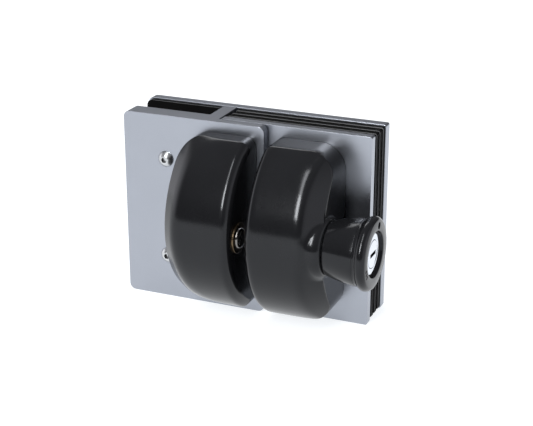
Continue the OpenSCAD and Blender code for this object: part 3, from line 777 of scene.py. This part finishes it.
# %% Turn the lock's barrel
LOCK_FACE = MOUTH_FLOOR + 0.3
LOCK_BEVEL, LOCK_SOFT = 0.7, 0.2
PLUG_R, PLUG_GAP = 6.2, 0.15
barrel = turned("lock_face", rounded([
    (LOCK_START, PLUG_R + PLUG_GAP, 0), (LOCK_START, LOCK_R - FIT, LOCK_SOFT),
    (MOUTH_FLOOR, LOCK_R - FIT, 0), (LOCK_FACE, LOCK_R - LOCK_BEVEL, LOCK_SOFT),
    (LOCK_FACE, PLUG_R + PLUG_GAP, LOCK_SOFT)]), KNOB_Y)
stand_for(barrel, "lock_barrel")

# %% Turn the plug and cut its keyway
TAIL_R, TAIL_START, PLUG_FACE, PLUG_SOFT = 2.5, CAM_ROOM + 0.3, LOCK_FACE + 0.1, 0.25
KEYWAY_W, KEYWAY_H, KEYWAY_DEPTH = 7.0, 1.8, 6.0
plug = turned("key_face", rounded([
    (TAIL_START, 0, 0), (TAIL_START, TAIL_R, LOCK_SOFT), (LOCK_START, TAIL_R, 0),
    (LOCK_START, PLUG_R, LOCK_SOFT), (PLUG_FACE, PLUG_R, PLUG_SOFT), (PLUG_FACE, 0, 0)]), KNOB_Y)
SQUARE = np.array([(-1, -1), (1, -1), (1, 1), (-1, 1)])
keyway = [KNOB_Y, 0] + SQUARE * [KEYWAY_W / 2, KEYWAY_H / 2]
carve(plug, bar_of(keyway, LOCK_FACE - KEYWAY_DEPTH, LOCK_FACE + PAST))
stand_for(plug, "key_plug")

# %% [markdown]
# ## The plates and the small parts
#
# The solid model's edges are knife sharp. Real edges are broken, and the thin bright line
# along them is what tells the eye that a plate is metal. The shape of these pieces is right as it
# is, so nothing is worked out again: each visible node is copied, its loose triangles are
# merged, flat faces are joined, and the edges get a small bevel. The bevel's normals are
# weighted by area, so that the big flat faces stay flat to the light.

# %% Copy a node and break its edges
FLAT_DEG, BEVEL_DEG, BEVEL_SEGMENTS = 0.5, 40, 3


def edged(name, node, width_mm, painted_edge_highlight=None):
    """A merged copy of a node with a small bevel along its sharp edges.

    A painted edge highlight, if given, is the second material, which only the bevels use."""
    piece = bpy.data.objects.new(name, NODES[node].data.copy())
    bpy.context.scene.collection.objects.link(piece)
    work = bmesh.new()
    work.from_mesh(piece.data)
    bmesh.ops.remove_doubles(work, verts=work.verts, dist=MERGE_MM * MM)
    bmesh.ops.dissolve_limit(work, angle_limit=radians(FLAT_DEG), verts=work.verts,
                             edges=work.edges)
    work.to_mesh(piece.data)
    work.free()
    smooth_shade(piece.data)
    stand_for(piece, node)
    if painted_edge_highlight:
        piece.data.materials.append(painted_edge_highlight)
    bevel = piece.modifiers.new("broken_edge", "BEVEL")
    bevel.width = width_mm * MM
    bevel.segments = BEVEL_SEGMENTS
    bevel.limit_method = "ANGLE"
    bevel.angle_limit = radians(BEVEL_DEG)
    bevel.material = 1 if painted_edge_highlight else -1
    piece.modifiers.new("flat_faces", "WEIGHTED_NORMAL").keep_sharp = True
    settle(piece)
    print(name, len(piece.data.polygons), "faces")
    return piece


EDGE_OF = {  # widths of the bevels in millimetres
    "back_plate": 0.35, "front_plate": 0.25, "gate_plate": 0.35,
    "stop_pad": 0.25, "rear_glass_pad": 0.4, "gate_gasket": 0.25,
    "glass_packer_front": 0.4, "glass_packer_rear": 0.4,
    "gate_glass_screws": 0.15, "bolt_bush": 0.2, "keeper_bush": 0.2,
    "magnet": 0.25, "magnet_carrier": 0.3,
}
# The rubber pieces carry the painted edge highlight on their bevels.
EDGED = {node: edged(node + "_edged", node, width,
                     RUBBER_EDGE_HIGHLIGHT if SLOT_OF[node] == "black_rubber" else None)
         for node, width in EDGE_OF.items()}

# %% [markdown]
# ## The sockets of the button heads
#
# A hexagon socket looks dark round a bright floor, because its walls see little light and hold
# some grease and dust. Here that dark is painted: painted shade with a little grease and dust. The
# walls are the steep faces near a screw's axis, so they can be picked out by their place and
# direction, and they get the second material of the piece, a dark colour.


# %% Paint shade on the walls of the sockets
def face_vectors(mesh, what):
    """One vector for each face of a mesh: its center or its normal."""
    vectors = np.empty(len(mesh.polygons) * 3)
    mesh.polygons.foreach_get(what, vectors)
    return vectors.reshape(-1, 3)


SOCKET_R, STEEP = 1.7, 0.5
screws = EDGED["gate_glass_screws"].data
screws.materials.append(SOCKET_SHADE_AND_GREASE)
screw_low, screw_high = np.array(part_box("gate_glass_screws")) / MM
head_r = (screw_high[0] - screw_low[0]) / 2
beside, _, above = face_vectors(screws, "center").T / MM
from_axis = np.hypot(beside - screw_low[0] - head_r, np.abs(above) - screw_high[2] + head_r)
walls = (from_axis < SOCKET_R) & (np.abs(face_vectors(screws, "normal")[:, 1]) < STEEP)
screws.polygons.foreach_set("material_index", walls.astype(np.int32))
print(int(walls.sum()), "faces in the sockets' walls")

# %% [markdown]
# ## The springs
#
# A compression spring is wire wound round a rod, with its last turns laid flat so that it
# stands square. A Screw modifier could wind it, but only with an even climb. Here a small circle
# is carried along a helix whose climb slows down at both ends.

# %% Wind the springs
FLAT_TURNS = 0.9
FLAT_PITCH = 2.1  # climb of a closed turn, in radii of the wire


def wound(name, node, wire_r, turns=6, steps=36, sides=14):
    """A spring in a node's box: t turns along, its wire is at (climb(t), R cos a, R sin a).

    Here a is 2 pi t. The climb is slow over the closed turns at both ends and steady between."""
    low, high = np.array(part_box(node)) / MM
    mean_r, middle_y = (high[2] - low[2]) / 2 - wire_r, (low[1] + high[1]) / 2
    t = np.linspace(0, turns, turns * steps + 1)
    flat_climb = FLAT_PITCH * wire_r * FLAT_TURNS
    open_climb = high[0] - low[0] - 2 * wire_r - 2 * flat_climb
    climb = np.interp(t, [0, FLAT_TURNS, turns - FLAT_TURNS, turns],
                      np.cumsum([low[0] + wire_r, flat_climb, open_climb, flat_climb]))
    angle = np.linspace(0, 2 * pi, sides, endpoint=False)
    reach = mean_r + wire_r * np.cos(angle)
    turn = 2 * pi * t[:, None]
    tube = np.stack([climb[:, None] + wire_r * np.sin(angle), middle_y + reach * np.cos(turn),
                     reach * np.sin(turn)], -1)
    first, last = tube[:1].mean(1, keepdims=True), tube[-1:].mean(1, keepdims=True)
    grid = np.concatenate([np.repeat(first, sides, 1), tube, np.repeat(last, sides, 1)])
    piece = solid_piece(name, grid, grid_faces(*grid.shape[:2], round_trip=True))
    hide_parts(node)
    dress(piece, STEEL)
    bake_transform(piece)
    print(name, "from", low[0].round(2), "to", high[0].round(2), "mean radius", mean_r.round(2))


wound("return_coil", "return_spring", 0.5)
wound("bolt_coil", "bolt_spring", 0.3)

# %% [markdown]
# ## The world and the floor
#
# The object stands on a plain pale floor in front of white. An even, dim world lights it from all
# round. Only the rays that see a surface, from the camera, off gloss or through glass, find
# the background and the glow of the floor, so both look white without any more light on the
# object, and the floor keeps the object's shadow.

# %% Build the world
WORLD_TONE = (0.60, 0.61, 0.64, 1)
world = bpy.data.worlds.new("studio")
bpy.context.scene.world = world
world.use_nodes = True
world_nodes, world_link = world.node_tree.nodes, world.node_tree.links.new
studio = world_nodes["Background"]
studio.inputs["Color"].default_value = WORLD_TONE
backdrop = world_nodes.new("ShaderNodeBackground")
backdrop.inputs["Color"].default_value = (1, 1, 1, 1)
choose = world_nodes.new("ShaderNodeMixShader")


def seen_ray(nodes, link):
    """One for the rays that see a surface: from the camera, off gloss or through glass."""
    rays = nodes.new("ShaderNodeLightPath")
    first = nodes.new("ShaderNodeMath")
    second = nodes.new("ShaderNodeMath")
    first.operation = second.operation = "MAXIMUM"
    link(rays.outputs["Is Camera Ray"], first.inputs[0])
    link(rays.outputs["Is Glossy Ray"], first.inputs[1])
    link(first.outputs["Value"], second.inputs[0])
    link(rays.outputs["Is Transmission Ray"], second.inputs[1])
    return second.outputs["Value"]


world_link(seen_ray(world_nodes, world_link), choose.inputs["Fac"])
world_link(studio.outputs["Background"], choose.inputs[1])
world_link(backdrop.outputs["Background"], choose.inputs[2])
world_link(choose.outputs["Shader"], world_nodes["World Output"].inputs["Surface"])
print("world tone", WORLD_TONE)


# %% Lay the floor
def stage_piece(name, points, faces, material):
    """A floor or card in metres that isn't part of the object."""
    mesh = bpy.data.meshes.new(name)
    mesh.from_pydata(np.reshape(points, (-1, 3)).tolist(), [], np.asarray(faces).tolist())
    stage = bpy.data.objects.new(name, mesh)
    bpy.context.scene.collection.objects.link(stage)
    dress(stage, material)
    return stage


FLOOR_HALF = 3.0
FLOOR_TONE, FLOOR_ROUGH = (0.35, 0.35, 0.35, 1), 0.7
FLOOR_GLOW, GLOW_TONE = 0.85, (0.95, 0.975, 1, 1)
floor_z = cad_low[2]
floor_material = bpy.data.materials.new("pale_floor")
floor_material.use_nodes = True
floor_nodes, floor_link = floor_material.node_tree.nodes, floor_material.node_tree.links.new
floor_shader = floor_nodes["Principled BSDF"]
floor_shader.inputs["Base Color"].default_value = FLOOR_TONE
floor_shader.inputs["Roughness"].default_value = FLOOR_ROUGH
floor_shader.inputs["Emission Color"].default_value = GLOW_TONE
glow = floor_nodes.new("ShaderNodeMath")
glow.operation = "MULTIPLY"
glow.inputs[1].default_value = FLOOR_GLOW
floor_link(seen_ray(floor_nodes, floor_link), glow.inputs[0])
floor_link(glow.outputs["Value"], floor_shader.inputs["Emission Strength"])
square = np.array([(-1, -1, 0), (1, -1, 0), (1, 1, 0), (-1, 1, 0)]) * FLOOR_HALF + [0, 0, floor_z]
stage_piece("floor", square, [(0, 1, 2, 3)], floor_material)
print("floor at", round(floor_z / MM, 1), "mm")

# %% [markdown]
# ## The tent
#
# Gloss black and satin metal show only what stands round them. A photographer hangs grey cloth
# over the object, dark in front and lighter above, with a bright card on each side. Here it is one
# dome whose tone is worked out from the place on it: it grows with height, and smoothly towards
# the right and the left end. Only reflections see the dome, so it casts no shadow and no light.

# %% Hang the tent
TENT_R = 1.6
TENT_LOW, TENT_HIGH, TENT_ROWS, TENT_COLUMNS = 0.0, 88.0, 16, 96
TENT_TONE_LOW, TENT_TONE_HIGH = 0.07, 0.34
TENT_TINT = (1, 1, 1.05, 1)
# Each card: where it starts and ends as a share of the radius along X, and how bright it is.
SIDE_CARDS = {"right": (0.6, 1, 0.9), "left": (-0.7, -1, 1.5)}
tent_material = bpy.data.materials.new("grey_card")
tent_material.use_nodes = True
tent_nodes, tent_link = tent_material.node_tree.nodes, tent_material.node_tree.links.new
tent_shader = tent_nodes["Principled BSDF"]
tent_shader.inputs["Base Color"].default_value = (0, 0, 0, 1)
tent_shader.inputs["Specular IOR Level"].default_value = 0.0
tent_shader.inputs["Emission Color"].default_value = TENT_TINT
tent_place = tent_nodes.new("ShaderNodeTexCoord")
tent_axes = tent_nodes.new("ShaderNodeSeparateXYZ")
tent_tone = tent_nodes.new("ShaderNodeMapRange")
tent_tone.inputs["From Max"].default_value = TENT_R
tent_tone.inputs["To Min"].default_value = TENT_TONE_LOW
tent_tone.inputs["To Max"].default_value = TENT_TONE_HIGH
tent_link(tent_place.outputs["Object"], tent_axes.inputs["Vector"])
tent_link(tent_axes.outputs["Z"], tent_tone.inputs["Value"])
tone_so_far = tent_tone.outputs["Result"]
for start, end, tone in SIDE_CARDS.values():
    card_tone = tent_nodes.new("ShaderNodeMapRange")
    card_tone.interpolation_type = "SMOOTHSTEP"
    card_tone.inputs["From Min"].default_value = start * TENT_R
    card_tone.inputs["From Max"].default_value = end * TENT_R
    card_tone.inputs["To Max"].default_value = tone
    added = tent_nodes.new("ShaderNodeMath")
    tent_link(tent_axes.outputs["X"], card_tone.inputs["Value"])
    tent_link(tone_so_far, added.inputs[0])
    tent_link(card_tone.outputs["Result"], added.inputs[1])
    tone_so_far = added.outputs["Value"]
tent_link(tone_so_far, tent_shader.inputs["Emission Strength"])
turn = np.linspace(0, 2 * pi, TENT_COLUMNS, endpoint=False)
rise = np.radians(np.linspace(TENT_LOW, TENT_HIGH, TENT_ROWS))[:, None]
tent_grid = np.stack([TENT_R * np.cos(rise) * np.cos(turn), TENT_R * np.cos(rise) * np.sin(turn),
                      floor_z + TENT_R * np.sin(rise) * np.ones_like(turn)], -1)
tent = stage_piece("grey_tent", tent_grid, grid_faces(*tent_grid.shape[:2]), tent_material)
tent.visible_camera = False
tent.visible_diffuse = False
tent.visible_shadow = False
print("tent of", len(tent.data.polygons), "faces")

# %% [markdown]
# ## The lamps
#
# The long streaks on the housings are upright strip lamps that stand in front, a little to the
# left. Two of them follow each other round the object like one bent strip, and the upper one is
# weaker, so the streak fades. A wide soft lamp behind lights the plates' top edges.


# %% Hang the lamps
def soft_lamp(name, low, high, width, watts):
    """A flat lamp from the middle of its lower edge to that of its upper edge, in metres.

    It faces the object at the origin."""
    low, high = np.array(low, float), np.array(high, float)
    middle, along = (low + high) / 2, high - low
    length = np.linalg.norm(along)
    along = along / length
    away = middle - along * (middle @ along)
    away = away / np.linalg.norm(away)
    data = bpy.data.lights.new(name, "AREA")
    data.shape = "RECTANGLE"
    data.size, data.size_y = width, length
    data.energy = watts
    lamp = bpy.data.objects.new(name, data)
    lamp.matrix_world = Matrix([(*axis, place) for axis, place in zip(
        np.stack([np.cross(along, away), along, away]).T.tolist(), middle.tolist())]
        + [(0, 0, 0, 1)])
    bpy.context.scene.collection.objects.link(lamp)
    print(name, watts, "W,", round(length, 2), "m long")


def towards(turn_deg, rise_deg, far=1.2):
    """A point far metres away, turned from straight in front to the right, and raised."""
    turn_by, rise_by = radians(turn_deg), radians(rise_deg)
    return (far * cos(rise_by) * sin(turn_by), -far * cos(rise_by) * cos(turn_by),
            far * sin(rise_by))


soft_lamp("strip_low", towards(-6, 20), towards(-3, 46), 0.2, 8.0)
soft_lamp("strip_high", towards(-3, 46), towards(-9, 76), 0.18, 3.2)
soft_lamp("back_lamp", towards(213, 37), towards(213, 58), 0.6, 2.8)

# %% [markdown]
# ## The view transform
#
# The view transform is left plain, so a colour shows about as it is written.

# %% Set the view transform
bpy.context.scene.view_settings.view_transform = "Standard"
